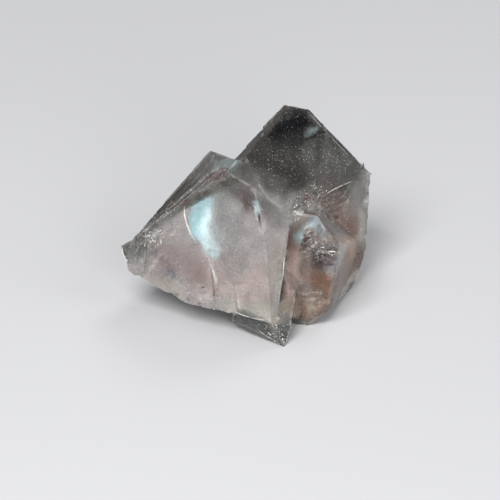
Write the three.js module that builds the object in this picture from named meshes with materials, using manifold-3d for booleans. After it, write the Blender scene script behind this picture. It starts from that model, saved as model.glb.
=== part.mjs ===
// Massive fluorite: two cleavage fragments grown together, with a lump at their junction and a
// small prism below. One solid, in millimetres, +Z up, lying on its flat cleavage base.
// The origin is at the bottom centre of the bounding box, and the broad front face looks
// along -Y and a little to -X.
import * as THREE from 'three';
import { ConvexGeometry } from 'three/addons/geometries/ConvexGeometry.js';
import { mergeVertices } from 'three/addons/utils/BufferGeometryUtils.js';
import Module from 'manifold-3d';

const wasm = await Module();
wasm.setup();

// ---------------------------------------------------------------- the main faces

// A face is given by the way it looks: turn is its compass direction in degrees from +X
// towards +Y, tilt is how far it looks up, and out is its distance from the middle in mm.
// Most of them lie near the octahedral cleavage planes of fluorite.
const FRONT_CRYSTAL = {
  front: { turn: -116, tilt: 12, out: 12.1 },
  right: { turn: -45.6, tilt: 13.2, out: 13.67 },
  shoulder: { turn: -50, tilt: 26.1, out: 17.23 },
  leftTop: { turn: 173.1, tilt: 47.4, out: 20.95 },
  crest: { turn: 43.9, tilt: 42.9, out: 13.16 },
  backLeft: { turn: 141.8, tilt: 14.3, out: 15.5 },
  leftEnd: { turn: -177, tilt: -10, out: 17.5 },
  back: { turn: 95, tilt: -5, out: 13 },
  farRight: { turn: 12.1, tilt: -13.5, out: 0.93 },
  underLeft: { turn: 180, tilt: -73.3, out: -0.91 },
  under: { turn: 0, tilt: -90, out: -3.75 },
};

// A slab behind the crest of the front crystal that stands a little higher.
const CREST_SLAB = {
  front: FRONT_CRYSTAL.front,
  leftTop: FRONT_CRYSTAL.leftTop,
  cap: { turn: 165.1, tilt: 59.4, out: 22.93 },
  backRight: { turn: 39.4, tilt: 44, out: 16.4 },
  side: { turn: -27.6, tilt: 5.7, out: 2.2 },
  backLeft: FRONT_CRYSTAL.backLeft,
  back: FRONT_CRYSTAL.back,
  leftEnd: FRONT_CRYSTAL.leftEnd,
  underLeft: FRONT_CRYSTAL.underLeft,
  under: FRONT_CRYSTAL.under,
};

const REAR_CRYSTAL = {
  smoky: { turn: -32.9, tilt: 37.4, out: 15.8 },
  bevel: { turn: 169.3, tilt: 54.3, out: 21.05 },
  top: { turn: 85, tilt: 54.3, out: 30.9 },
  backLeft: { turn: 144.2, tilt: 11.6, out: 8.33 },
  backRight: { turn: 43.1, tilt: 31.5, out: 29.07 },
  back: { turn: 95, tilt: -5, out: 18.5 },
  cheek: { turn: -36.7, tilt: 22.9, out: 12.1 },
  rightEdge: { turn: 12.1, tilt: -14.2, out: 18.43 },
  foot: { turn: -1.6, tilt: -26.6, out: 14.77 },
  ankle: { turn: -36.2, tilt: -23.8, out: 10.2 },
  innerFront: { turn: -116, tilt: 12, out: 6 },
  underLeft: { turn: -151, tilt: -56.6, out: 1.35 },
  underFront: { turn: -90, tilt: -53, out: 4.2 },
  base: { turn: 0, tilt: -90, out: 0 },
};

const LUMP = {
  front: { turn: -102.4, tilt: 24.3, out: 8.5 },
  brow: { turn: -118, tilt: 40, out: 8.55 },
  temple: { turn: -78, tilt: 34, out: 14.55 },
  waist: { turn: -94, tilt: 10, out: 8.35 },
  jaw: { turn: -114, tilt: 4, out: 4.2 },
  lowerFront: { turn: -84, tilt: -4, out: 9.6 },
  right: { turn: -17.4, tilt: -3.7, out: 14.8 },
  top: { turn: 71.6, tilt: 71.6, out: 16 },
  topRight: { turn: 8.6, tilt: 42, out: 19 },
  underRight: { turn: -29, tilt: -46.8, out: 8.7 },
  underFront: { turn: -99.5, tilt: -52.4, out: 4.1 },
  left: { turn: 180, tilt: 0, out: 0 },
  back: { turn: 90, tilt: 0, out: 6 },
  base: REAR_CRYSTAL.base,
};

// Corners of the small prism that hangs below the front face and touches the ground, and of
// the clear chip at the left tip.
const PRISM = [
  [5.9, -15.7, 0], [-2.4, -10.2, 1.5], [3.4, -14.4, 4.6], [7, -13.5, 2.7],
  [-2.2, -10.6, 4.2], [7.4, -7, 0], [2, -5, 0], [8, -7, 6], [0, -6, 6],
];
const LEFT_TIP = [
  [-20.1, -0.3, 9.9], [-19.6, -0.6, 8.4], [-18, -2, 12.1], [-16.5, -3, 10],
  [-17, -3.2, 7.5], [-16.5, 1.5, 9.5],
];

// Small splinters that stand out from the right outline: a tip and what it grows from.
const SPLINTERS = [
  [[18.9, 15.2, 16.9], [18, 15, 16.6], [18.9, 14.6, 15.6], [19.2, 15.3, 15.4], [18, 14, 15.4]],
  [[20.3, 12.2, 11.4], [19.2, 12.8, 12.2], [19.3, 11.4, 10.4], [18.6, 12.6, 11], [18.9, 11.4, 11.6]],
  [[20.25, 15.1, 15], [19.2, 15, 15.4], [19, 14.8, 14], [19.4, 13.8, 14.4], [18.8, 14.6, 14.4]],
];

// ---------------------------------------------------------------- solids, faces and cuts

const BLOCK = 90;
const CLEAR = 2;
const UNDERSIDE_BITES = 44;
const FRONT_FLOOR = 3.75;
const FRONT_FLOOR_SLOPE = 0.3;
const FRONT_FLOOR_BEND = 9.9;

// Evenly spread numbers between low and high, the same ones at every build.
let randomState = 20240;
function random(low, high) {
  randomState = (randomState + 0x6d2b79f5) | 0;
  let mixed = Math.imul(randomState ^ (randomState >>> 15), 1 | randomState);
  mixed = (mixed + Math.imul(mixed ^ (mixed >>> 7), 61 | mixed)) ^ mixed;
  return low + (high - low) * (((mixed ^ (mixed >>> 14)) >>> 0) / 4294967296);
}

function facing(face) {
  const turn = THREE.MathUtils.degToRad(face.turn);
  const tilt = THREE.MathUtils.degToRad(face.tilt);
  return new THREE.Vector3(
    Math.cos(tilt) * Math.cos(turn),
    Math.cos(tilt) * Math.sin(turn),
    Math.sin(tilt),
  );
}

// The point on a face, lifted off it by lift, that has the given x and z, or x and y.
function byXZ(face, [x, z], lift = 0) {
  const n = facing(face);
  return new THREE.Vector3(x, (face.out + lift - n.x * x - n.z * z) / n.y, z);
}
function byXY(face, [x, y], lift = 0) {
  const n = facing(face);
  return new THREE.Vector3(x, y, (face.out + lift - n.x * x - n.y * y) / n.z);
}

function solidOf(geometry) {
  const bare = geometry.clone();
  bare.deleteAttribute('normal');
  bare.deleteAttribute('uv');
  const merged = mergeVertices(bare, 1e-4);
  return new wasm.Manifold(new wasm.Mesh({
    numProp: 3,
    vertProperties: new Float32Array(merged.attributes.position.array),
    triVerts: new Uint32Array(merged.index.array),
  }));
}

function geometryOf(solid) {
  const mesh = solid.getMesh();
  const geometry = new THREE.BufferGeometry();
  geometry.setAttribute('position', new THREE.BufferAttribute(mesh.vertProperties, 3));
  geometry.setIndex(new THREE.BufferAttribute(mesh.triVerts, 1));
  return geometry;
}

const hull = (points) => solidOf(new ConvexGeometry(points));
const corners = (list) => list.map((corner) => new THREE.Vector3(...corner));

// The convex solid inside a set of faces.
function crystal(faces) {
  let solid = solidOf(new THREE.BoxGeometry(BLOCK, BLOCK, BLOCK));
  for (const face of Object.values(faces)) {
    solid = solid.trimByPlane(facing(face).negate().toArray(), -face.out);
  }
  return solid;
}

// A cleavage step: the face drops by drop along the edge line and comes back up to its own
// level at the fade line.
function step(face, at, edge, fade, drop) {
  return hull([
    ...edge.map((spot) => at(face, spot, -drop)),
    ...edge.map((spot) => at(face, spot, CLEAR)),
    ...fade.map((spot) => at(face, spot, 0)),
    ...fade.map((spot) => at(face, spot, CLEAR)),
  ]);
}

// A stepped edge where two faces meet: everything beyond both inset planes comes off, between
// two more planes that end the step.
function rebate(faceA, faceB, insetA, insetB, ends = []) {
  const flip = (face, inset) => ({ turn: face.turn + 180, tilt: -face.tilt, out: inset - face.out });
  return crystal([flip(faceA, insetA), flip(faceB, insetB), ...ends]);
}

// A broken bite: a rough rounded cutter, turned at random.
function bite(centre, radius, detail = 1) {
  const geometry = new THREE.IcosahedronGeometry(radius, detail);
  geometry.rotateX(random(0, Math.PI));
  geometry.rotateZ(random(0, Math.PI));
  geometry.scale(1, random(0.88, 1), random(0.88, 1));
  geometry.translate(...centre);
  return solidOf(geometry);
}

// A small three-sided etch pit, pointing straight into the face.
function pit(face, place, radius, spin) {
  const geometry = new THREE.TetrahedronGeometry(radius);
  const corner = new THREE.Vector3(1, 1, 1).normalize();
  geometry.applyQuaternion(new THREE.Quaternion().setFromUnitVectors(corner, facing(face).negate()));
  geometry.applyQuaternion(new THREE.Quaternion().setFromAxisAngle(facing(face), spin));
  geometry.translate(place.x, place.y, place.z);
  return solidOf(geometry);
}

// How far a point lies inside the nearest of some faces.
function depthInside(point, faces) {
  return Math.min(...faces.map((face) => face.out - facing(face).dot(point)));
}

// ---------------------------------------------------------------- front crystal details

const FRONT = FRONT_CRYSTAL.front;
const FLAKE_COUNT = 26;

function frontFaceCuts() {
  const cuts = [];
  // The tall cleavage step down the middle, and a lower one to its right.
  cuts.push(step(FRONT, byXZ, [[-5.9, 13.2], [-5.4, 10.6], [-4.8, 2]], [[-2.4, 13], [-1.6, 2]], 0.26));
  cuts.push(step(FRONT, byXZ, [[-2.1, 9], [-1.2, 2]], [[1.8, 9.6], [2.2, 2]], 0.15));
  // The fissure near the shoulder.
  cuts.push(hull([
    byXZ(FRONT, [1.1, 22.4], 0.2), byXZ(FRONT, [1.6, 20.9], 0.6), byXZ(FRONT, [2.2, 20.4], 0.6),
    byXZ(FRONT, [2.5, 17.6], 0.2), byXZ(FRONT, [1.9, 20.4], -1.1), byXZ(FRONT, [1.7, 21.3], -0.9),
  ]));
  // Shallow steps near the left end, and small flakes missing between them.
  for (const [x, top, foot] of [[-17.1, 11.6, 8.4], [-15.9, 12.9, 6.8], [-14.4, 11.8, 9.4], [-13.3, 14.2, 10.6]]) {
    const edge = [[x, top], [x - 0.3, foot]];
    cuts.push(step(FRONT, byXZ, edge, [[x + 0.8, top - 0.4], [x + 0.3, foot + 0.5]], 0.15));
  }
  for (let flake = 0; flake < FLAKE_COUNT; flake += 1) {
    const place = byXZ(FRONT, [random(-17.6, -11.6), random(8, 15)]);
    if (depthInside(place, [FRONT_CRYSTAL.leftTop]) > 0.4) {
      cuts.push(pit(FRONT, place, random(0.15, 0.34), random(0, 2)));
    }
  }
  // Pinprick pits near the lower edge.
  for (const [x, z] of [[-6.9, 6.9], [-6.6, 6.1], [-5.2, 6.4], [-5, 5.5], [-4.1, 8.1], [-7.4, 7.6]]) {
    cuts.push(pit(FRONT, byXZ(FRONT, [x, z]), random(0.22, 0.34), random(0, 2)));
  }
  return cuts;
}

// Long steps that run along the left-top face beside its outer rim, and a few across its end.
function leftTopCuts() {
  const face = FRONT_CRYSTAL.leftTop;
  const bands = [
    { inner: [[-5.2, 0.6], [-8.5, -0.7], [-16.8, -2.9]], outer: [[-4.6, 5.4], [-17.6, -1.2]], drop: 0.45 },
    { inner: [[-5.6, 4.4], [-11.4, 1], [-17.3, -2]], outer: [[-5.2, 8.6], [-17.9, -1.4]], drop: 0.4 },
    { inner: [[-4.4, -2.9], [-12.2, -3.4]], outer: [[-4.2, -1.6], [-12.6, -2.6]], drop: 0.3 },
    { inner: [[-8.2, 4.8], [-14.8, 0.3]], outer: [[-8.4, 6.1], [-15.2, 1]], drop: 0.3 },
  ];
  return bands.map((band) => step(face, byXY, band.inner, band.outer, band.drop));
}

// ---------------------------------------------------------------- rear crystal details

const SMOKY = REAR_CRYSTAL.smoky;
const PIT_GAP = 1.5;

function smokyFaceCuts() {
  const cuts = [];
  const limits = [REAR_CRYSTAL.bevel, REAR_CRYSTAL.backRight, REAR_CRYSTAL.cheek, REAR_CRYSTAL.top];
  for (let x = -2; x < 19; x += PIT_GAP) {
    for (let y = -4; y < 16; y += PIT_GAP) {
      const place = byXY(SMOKY, [x + random(-PIT_GAP, PIT_GAP), y + random(-PIT_GAP, PIT_GAP)]);
      const behindCrest = -depthInside(place, [FRONT_CRYSTAL.crest]);
      if (depthInside(place, limits) > 0.8 && behindCrest > 0.6) {
        cuts.push(pit(SMOKY, place, random(0.16, 0.46), random(-0.15, 0.15)));
      }
    }
  }
  // A shallow pale panel near the right outline.
  cuts.push(step(SMOKY, byXY, [[9.3, 10.8], [12.6, 15.2]], [[8.6, 12.4], [11.3, 16.4]], 0.4));
  return cuts;
}

// Narrow ledges on the cheek, side by side under the edge that it shares with the smoky face.
function cheekCuts() {
  const cuts = [];
  const face = REAR_CRYSTAL.cheek;
  for (let ledge = 0; ledge < 6; ledge += 1) {
    const z = 15.9 - ledge * 0.85 + random(-0.12, 0.12);
    const from = 11.6 + ledge * 0.35 + random(-0.3, 0.6);
    const to = 16.9 - ledge * 0.4 + random(-0.9, 0.3);
    const fade = [[from + 0.3, z - random(0.6, 1.1)], [to - 0.2, z - random(1, 1.4)]];
    cuts.push(step(face, byXZ, [[from, z], [to, z - 0.5]], fade, random(0.3, 0.6)));
  }
  return cuts;
}

// The junction of the crystals is shattered: many small cleavage splinters are missing.
function junctionCuts() {
  const cuts = [];
  for (let splinter = 0; splinter < 15; splinter += 1) {
    const along = splinter / 14;
    const centre = [6.9 + 3.9 * along, -4.6 + 7 * along, 17.4 - 0.6 * along];
    const jitter = centre.map((value) => value + random(-0.8, 0.8));
    const geometry = new THREE.OctahedronGeometry(random(0.5, 1.05));
    geometry.rotateX(random(0, 1.5));
    geometry.rotateY(random(0, 1.5));
    geometry.translate(...jitter);
    cuts.push(solidOf(geometry));
  }
  return cuts;
}

// ---------------------------------------------------------------- lump details

// Wide shell-shaped hollows where the lump broke, each open at one side. The larger a ball,
// the flatter its hollow.
function lumpHollows() {
  const hollows = [
    { at: [14.3, 12.6], radius: 8, depth: 1.3 },
    { at: [8.4, 6.4], radius: 12, depth: 0.5 },
    { at: [13.4, 17.2], radius: 10, depth: 1 },
  ];
  return hollows.map(({ at, radius, depth }) => {
    const geometry = new THREE.IcosahedronGeometry(radius, Math.round(radius));
    geometry.translate(...byXZ(LUMP.front, at, radius - depth).toArray());
    return solidOf(geometry);
  });
}

// Two short cracks near the foot of the lump.
function lumpCracks() {
  return [[11.2, 5.4], [13.2, 5.2]].map(([x, z]) => hull([
    byXZ(LUMP.front, [x - 0.5, z + 0.9], 0.3), byXZ(LUMP.front, [x + 0.5, z - 0.9], 0.3),
    byXZ(LUMP.front, [x + 0.25, z + 0.1], 0.6), byXZ(LUMP.front, [x, z], -0.8),
  ]));
}

// ---------------------------------------------------------------- broken edges and hidden sides

// Bites along a line, at random sizes, with their centres pushed out from it.
function nibbles(from, to, push, count, size) {
  const cuts = [];
  const start = new THREE.Vector3(...from);
  const end = new THREE.Vector3(...to);
  for (let index = 0; index < count; index += 1) {
    const radius = random(0.5 * size, size);
    const centre = start.clone().lerp(end, (index + random(0.1, 0.9)) / count);
    centre.add(new THREE.Vector3(...push).normalize().multiplyScalar(radius * random(0.62, 0.86)));
    cuts.push(bite(centre.toArray(), radius, radius > 1.5 ? 1 : 0));
  }
  return cuts;
}

function edgeCuts() {
  return [
    ...nibbles([20, 15.2, 14.8], [19.2, 7.2, 4.9], [1, -0.2, 0], 9, 1.1),
    ...nibbles([19.2, 7.2, 4.9], [16.8, 3.9, 0.6], [1, -0.4, -0.2], 5, 0.8),
    ...nibbles([6.1, 13, 28.5], [9.8, 15.7, 26.4], [0, 0.4, 1], 5, 0.6),
    ...nibbles([12.6, 15.7, 23.3], [20, 15.2, 14.8], [0.8, 0.3, 0.6], 6, 0.5),
    ...nibbles([12.5, -10.4, 3], [16.8, 3.9, 0.5], [0.8, -0.4, -0.6], 7, 0.9),
    ...nibbles([8.2, -10.9, 1.5], [12.5, -10.4, 3], [0, -0.7, -0.7], 4, 0.7),
    ...nibbles([-15.2, -5.1, 5.3], [-1.1, -12.3, 3.7], [-0.2, -0.4, -1], 8, 0.7),
    ...nibbles([-19.6, -0.6, 8.4], [-19, -2.9, 6.6], [-1, 0, -0.2], 3, 0.7),
    ...nibbles([6.2, -9.2, 13.5], [4.9, -13.3, 5], [0.9, -0.4, 0], 5, 0.4),
    ...nibbles([1, -8.3, 24.9], [5.6, -7.4, 20.6], [0.5, 0, 1], 4, 0.4),
  ];
}

const above = (z) => ({ turn: 0, tilt: -90, out: -z });
const below = (z) => ({ turn: 0, tilt: 90, out: z });

// The back of each crystal is stepped along its cleavage planes.
function frontCrystalLedges() {
  const { backLeft, under, back, leftEnd } = FRONT_CRYSTAL;
  return [
    rebate(backLeft, under, 0.7, 2.2),
    rebate(backLeft, under, 1.5, 1.1),
    rebate(backLeft, back, 1.4, 3.2, [below(15)]),
    rebate(backLeft, back, 2.3, 2, [below(9.5)]),
    rebate(backLeft, leftEnd, 0.5, 1, [below(8.6)]),
  ];
}
function rearCrystalLedges() {
  const { back, backLeft, backRight, bevel, underLeft, rightEdge, base } = REAR_CRYSTAL;
  return [
    rebate(back, backLeft, 1.6, 3.4, [above(7)]),
    rebate(back, backLeft, 3, 1.9, [above(12.5)]),
    rebate(back, backLeft, 0.7, 5.2, [above(3)]),
    rebate(back, backRight, 1.1, 4.2, [below(21)]),
    rebate(back, backRight, 2.1, 2.2, [above(4), below(17)]),
    rebate(backLeft, underLeft, 1.2, 2.4),
    rebate(backLeft, underLeft, 2, 1.3),
    rebate(backLeft, bevel, 0.5, 1.1, [{ turn: 60, tilt: 0, out: 9 }]),
    rebate(backLeft, bevel, 0.9, 0.5, [{ turn: 60, tilt: 0, out: 4 }]),
    rebate(back, rightEdge, 2.4, 1, [below(9)]),
    rebate(back, base, 0.8, 3.1, [{ turn: 180, tilt: 0, out: -2 }]),
  ];
}

// The underside of the front crystal is rough broken stone: shallow angular bites.
function undersideCuts() {
  const cuts = [];
  for (let index = 0; index < UNDERSIDE_BITES; index += 1) {
    const radius = random(1.6, 3.6);
    const x = random(-17.5, -6);
    const y = random(-7, 8) - 0.35 * (x + 9);
    const surface = Math.max(FRONT_FLOOR, FRONT_FLOOR - FRONT_FLOOR_SLOPE * (x + FRONT_FLOOR_BEND));
    cuts.push(bite([x, y, surface - radius * random(0.66, 0.8)], radius, 0));
  }
  return cuts;
}

// ---------------------------------------------------------------- the specimen

const without = (solid, cuts) => cuts.reduce((rest, cut) => rest.subtract(cut), solid);

function buildFluorite() {
  const front = without(crystal(FRONT_CRYSTAL).add(crystal(CREST_SLAB)), frontCrystalLedges());
  const rear = without(crystal(REAR_CRYSTAL), rearCrystalLedges());
  const splinters = [PRISM, LEFT_TIP, ...SPLINTERS].map((list) => hull(corners(list)));
  const grown = [rear, without(crystal(LUMP), lumpHollows()), ...splinters];
  return without(grown.reduce((sum, solid) => sum.add(solid), front), [
    ...frontFaceCuts(), ...leftTopCuts(), ...smokyFaceCuts(), ...cheekCuts(),
    ...junctionCuts(), ...lumpCracks(), ...edgeCuts(), ...undersideCuts(),
  ]);
}

function largestPiece(solid) {
  const pieces = solid.decompose();
  return pieces.reduce((best, piece) => (piece.numTri() > best.numTri() ? piece : best));
}

const geometry = geometryOf(largestPiece(buildFluorite()));
geometry.computeBoundingBox();
const middle = geometry.boundingBox.getCenter(new THREE.Vector3());
geometry.translate(-middle.x, -middle.y, -geometry.boundingBox.min.z);

const specimen = new THREE.Mesh(geometry, new THREE.MeshStandardMaterial({
  color: 0xb9a9a6,
  roughness: 0.12,
  metalness: 0,
}));
specimen.name = 'fluorite';

const group = new THREE.Group();
group.add(specimen);

export default group;
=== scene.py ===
# %% [markdown]
# # A massive fluorite specimen
#
# Fluorite splits along flat planes that cut off the corners of a cube. This specimen is two
# such cleavage fragments grown together: a broad milky one in front, with a pinkish heart, and
# a smoky, nearly clear one behind it. A rough lump fills the corner between them, and a small
# clear prism hangs below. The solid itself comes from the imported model. This file gives it
# fine chipped edges, colours in depth, veils, specks and light. Places and sizes are in mm,
# and turn into metres only where they go into a mesh or a scene setting.

import math

import bmesh
import bpy
import numpy as np
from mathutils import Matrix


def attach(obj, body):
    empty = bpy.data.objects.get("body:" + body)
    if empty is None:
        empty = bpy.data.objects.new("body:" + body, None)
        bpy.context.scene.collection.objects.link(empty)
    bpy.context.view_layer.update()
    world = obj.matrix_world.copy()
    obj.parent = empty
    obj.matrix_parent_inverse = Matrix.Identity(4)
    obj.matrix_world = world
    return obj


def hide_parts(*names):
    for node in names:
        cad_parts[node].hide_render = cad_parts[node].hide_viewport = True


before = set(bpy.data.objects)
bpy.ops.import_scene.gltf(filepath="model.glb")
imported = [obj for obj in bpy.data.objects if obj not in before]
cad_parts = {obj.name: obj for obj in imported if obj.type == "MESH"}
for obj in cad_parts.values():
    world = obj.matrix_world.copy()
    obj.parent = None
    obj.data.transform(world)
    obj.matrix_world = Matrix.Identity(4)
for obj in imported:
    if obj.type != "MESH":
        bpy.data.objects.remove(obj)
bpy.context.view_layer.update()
MM = 0.001

# %% [markdown]
# ## The camera
#
# A short lens close to the stone would make parallel cleavage edges run together. A very long
# lens from far off keeps them parallel, so that is what is used. The camera looks down by 28
# degrees. Its frame is square and shows 80 mm at the stone, and it aims a little below the
# stone's middle, so that the stone stands a little high in the frame.

# %% The camera
VIEW_DOWN = 28
FRAME_WIDTH = 80 * MM
LENS_MM = 450
SENSOR_MM = 36
NEAREST_SEEN = 0.01
FARTHEST_SEEN = 20
AIM = np.array([0.48, 0, 7.7]) * MM


def facing(turn, tilt):
    """The unit vector with a compass direction and a tilt, both in degrees:
    (cos tilt cos turn, cos tilt sin turn, sin tilt)."""
    turn, tilt = math.radians(turn), math.radians(tilt)
    return np.array([math.cos(tilt) * math.cos(turn), math.cos(tilt) * math.sin(turn), math.sin(tilt)])


def link(item):
    """Puts an object in the scene."""
    bpy.context.scene.collection.objects.link(item)
    return item


def make_camera():
    """A camera in front of the aim point and above it, at frame width * lens / sensor from it."""
    distance = FRAME_WIDTH * LENS_MM / SENSOR_MM
    data = bpy.data.cameras.new("camera")
    data.lens = LENS_MM
    data.sensor_width = SENSOR_MM
    data.clip_start = NEAREST_SEEN
    data.clip_end = FARTHEST_SEEN
    camera = link(bpy.data.objects.new("camera", data))
    camera.location = AIM + distance * facing(-90, VIEW_DOWN)
    camera.rotation_euler = (math.radians(90 - VIEW_DOWN), 0, 0)
    bpy.context.scene.camera = camera
    return distance


print("camera is", round(make_camera(), 3), "m from the stone")

# %% [markdown]
# ## The floor
#
# The floor is one flat square of matt pale paper, so large that its edge lies far outside the
# camera's view. A curved backdrop is not needed then.

# %% A pale floor
FLOOR_HALF = 1.5
FLOOR_COLOUR = (0.46, 0.46, 0.47, 1)
FLOOR_ROUGHNESS = 0.9


def new_material(name):
    """An empty node material, its node tree and its Principled shader."""
    material = bpy.data.materials.new(name)
    material.use_nodes = True
    return material, material.node_tree, material.node_tree.nodes["Principled BSDF"]


def fill(tree, node, inputs):
    """Sets a node's inputs. One that is given another node's output socket is linked to it."""
    for key, value in inputs.items():
        if isinstance(value, bpy.types.NodeSocket):
            tree.links.new(value, node.inputs[key])
        else:
            node.inputs[key].default_value = value


def make_floor():
    """A flat square at the height of the stone's base, with corners at plus and minus its half."""
    mesh = bpy.data.meshes.new("floor")
    side = FLOOR_HALF
    corners = [(-side, -side, 0), (side, -side, 0), (side, side, 0), (-side, side, 0)]
    mesh.from_pydata(corners, [], [(0, 1, 2, 3)])
    floor = link(bpy.data.objects.new("floor", mesh))
    material, tree, shader = new_material("floor_paper")
    fill(tree, shader, {"Base Color": FLOOR_COLOUR, "Roughness": FLOOR_ROUGHNESS})
    mesh.materials.append(material)
    return floor


print("floor is", 2 * FLOOR_HALF, "m wide:", make_floor().name)

# %% [markdown]
# ## The light
#
# Clear stone shows whatever stands around it, so the light is kept very plain: a dim even sky
# and four soft square panels. The strongest one, the key, stands high in front, a little to
# the left, and gives the front face its even gleam. The second stands low in front and opens
# the dark foot of the stone. Two weak ones, at the right and behind, draw the outline. Small
# hard lamps would be simpler, but they leave glaring spots on flat faces.

# %% Soft panels and an even sky
# Each panel: compass angle and height angle in degrees, distance and size in m, and watts.
PANELS = {
    "key_panel": (-118, 54, 0.6, 0.35, 4.4),
    "front_panel": (-75, 22, 0.7, 0.3, 2.2),
    "side_panel": (-20, 40, 0.7, 0.3, 0.8),
    "back_panel": (60, 50, 0.7, 0.3, 1.5),
}
SKY_COLOUR = (0.85, 0.88, 0.92, 1)
SKY_STRENGTH = 0.22


def make_panel(name, azimuth, height, distance, size, watts):
    """A square soft light that faces the origin, at distance * facing(azimuth, height)."""
    data = bpy.data.lights.new(name, "AREA")
    data.shape = "SQUARE"
    data.size = size
    data.energy = watts
    lamp = link(bpy.data.objects.new(name, data))
    lamp.location = distance * facing(azimuth, height)
    lamp.rotation_euler = (math.radians(90 - height), 0, math.radians(azimuth + 90))


def make_sky():
    """A sky of one colour and strength in every direction."""
    world = bpy.data.worlds.new("even_sky")
    world.use_nodes = True
    background = world.node_tree.nodes["Background"]
    fill(world.node_tree, background, {"Color": SKY_COLOUR, "Strength": SKY_STRENGTH})
    bpy.context.scene.world = world


for panel, values in PANELS.items():
    make_panel(panel, *values)
make_sky()
bpy.context.scene.view_settings.view_transform = "Standard"
print("panels:", ", ".join(PANELS))

# %% [markdown]
# ## A finer copy of the solid
#
# The solid is exact, but its large faces are single triangles, which can hold no colour zones
# and no chips. A subdivision surface would round the crystals off. So the corners are merged
# in a copy, and then every long edge is halved, again and again. New points lie on the old
# faces, and the cleavage planes stay perfectly flat. Edges along a rim, where two faces meet at
# an angle, are made shorter than the others, because the chips need more points there.

# %% Merge the copy
MERGE_WITHIN = 0.002


def read_rows(items, name, width, kind=float):
    """One property of a mesh's points, edges or faces as an array with width columns."""
    flat = np.empty(len(items) * width, dtype=kind)
    items.foreach_get(name, flat)
    return flat.reshape(-1, width)


def merged_copy(node):
    """The node's corners in mm and its triangles, with the corners that lie together merged."""
    grid = bmesh.new()
    grid.from_mesh(node.data)
    bmesh.ops.remove_doubles(grid, verts=grid.verts, dist=MERGE_WITHIN * MM)
    bmesh.ops.triangulate(grid, faces=grid.faces)
    mesh = bpy.data.meshes.new("merged")
    grid.to_mesh(mesh)
    grid.free()
    corners = read_rows(mesh.vertices, "co", 3) / MM
    triangles = read_rows(mesh.polygons, "vertices", 3, np.int64)
    bpy.data.meshes.remove(mesh)
    return corners, triangles


solid_corners, solid_triangles = merged_copy(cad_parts["fluorite"])
print("merged solid has", len(solid_corners), "corners and", len(solid_triangles), "triangles")

# %% Edges and rims of a set of triangles
RIM_ANGLE = math.radians(34)


def edge_table(triangles):
    """Every edge once, as two corner numbers, and the edge number of each triangle's sides."""
    ends = np.sort(triangles[:, [[0, 1], [1, 2], [2, 0]]].reshape(-1, 2), axis=1)
    edges, of_side = np.unique(ends, axis=0, return_inverse=True)
    return edges, of_side.reshape(-1, 3)


def rim_mask(corners, triangles, of_side):
    """True for an edge whose two faces meet at more than RIM_ANGLE. The sum of two unit normals
    has a squared length of 2 + 2 * the cosine of the angle between them."""
    sides = corners[triangles[:, 1:]] - corners[triangles[:, :1]]
    normals = np.cross(sides[:, 0], sides[:, 1])
    normals /= np.maximum(np.linalg.norm(normals, axis=1), 1e-12)[:, None]
    both = [np.bincount(of_side.ravel(), np.repeat(normals[:, axis], 3)) for axis in range(3)]
    return np.square(both).sum(0) / 2 - 1 < math.cos(RIM_ANGLE)


solid_edges, solid_sides = edge_table(solid_triangles)
solid_rims = rim_mask(solid_corners, solid_triangles, solid_sides)
print("rims:", int(solid_rims.sum()), "of", len(solid_edges), "edges")

# %% Halve every long edge
FACE_STEP = 0.9
RIM_STEP = 0.35


def split_triangles(triangles, side):
    """Smaller triangles. The array side holds the new corner at the middle of each side, or -1.
    With one new corner a triangle falls into two, with two into three, and with three into
    four."""
    pieces = []
    for first in range(3):
        order = [first, (first + 1) % 3, (first + 2) % 3]
        a, b, c = triangles[:, order].T
        ab, bc, ca = side[:, order].T
        one = (ab >= 0) & (bc < 0) & (ca < 0)
        pieces += [np.stack(rows, 1)[one] for rows in ([a, ab, c], [ab, b, c])]
        two = (ab >= 0) & (bc < 0) & (ca >= 0)
        pieces += [np.stack(rows, 1)[two] for rows in ([a, ab, ca], [ab, b, c], [ab, c, ca])]
    a, b, c = triangles.T
    ab, bc, ca = side.T
    whole, split = (side < 0).all(1), (side >= 0).all(1)
    quarters = ([a, ab, ca], [ab, b, bc], [ca, bc, c], [ab, bc, ca])
    pieces += [triangles[whole]] + [np.stack(rows, 1)[split] for rows in quarters]
    return np.concatenate(pieces)


def halve_long_edges(corners, triangles):
    """One pass: each edge longer than RIM_STEP on a rim, or FACE_STEP elsewhere, gets a corner
    at the mean of its ends. Gives the corners, the triangles and how many edges were long."""
    edges, of_side = edge_table(triangles)
    limit = np.where(rim_mask(corners, triangles, of_side), RIM_STEP, FACE_STEP)
    long = np.linalg.norm(corners[edges[:, 0]] - corners[edges[:, 1]], axis=1) > limit
    middle = np.full(len(edges), -1)
    middle[long] = len(corners) + np.arange(long.sum())
    corners = np.concatenate([corners, corners[edges[long]].mean(axis=1)])
    return corners, split_triangles(triangles, middle[of_side]), int(long.sum())


def refined_mesh(corners, triangles, name):
    """A mesh of the triangles, with the long edges halved until none is left."""
    left = 1
    while left:
        corners, triangles, left = halve_long_edges(corners, triangles)
    mesh = bpy.data.meshes.new(name)
    mesh.from_pydata(corners * MM, [], triangles)
    return mesh


stone_mesh = refined_mesh(solid_corners, solid_triangles, "fluorite_stone")
print("stone has", len(stone_mesh.polygons), "triangles", flush=True)

# %% [markdown]
# ## How far every point is from a sharp edge
#
# Chips and frosty wear follow the sharp edges of a crystal. Blender's own pointiness input
# could tint such edges, but it cannot move points. So each point's distance from the nearest
# sharp edge is measured here, by walking along the mesh.

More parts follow.
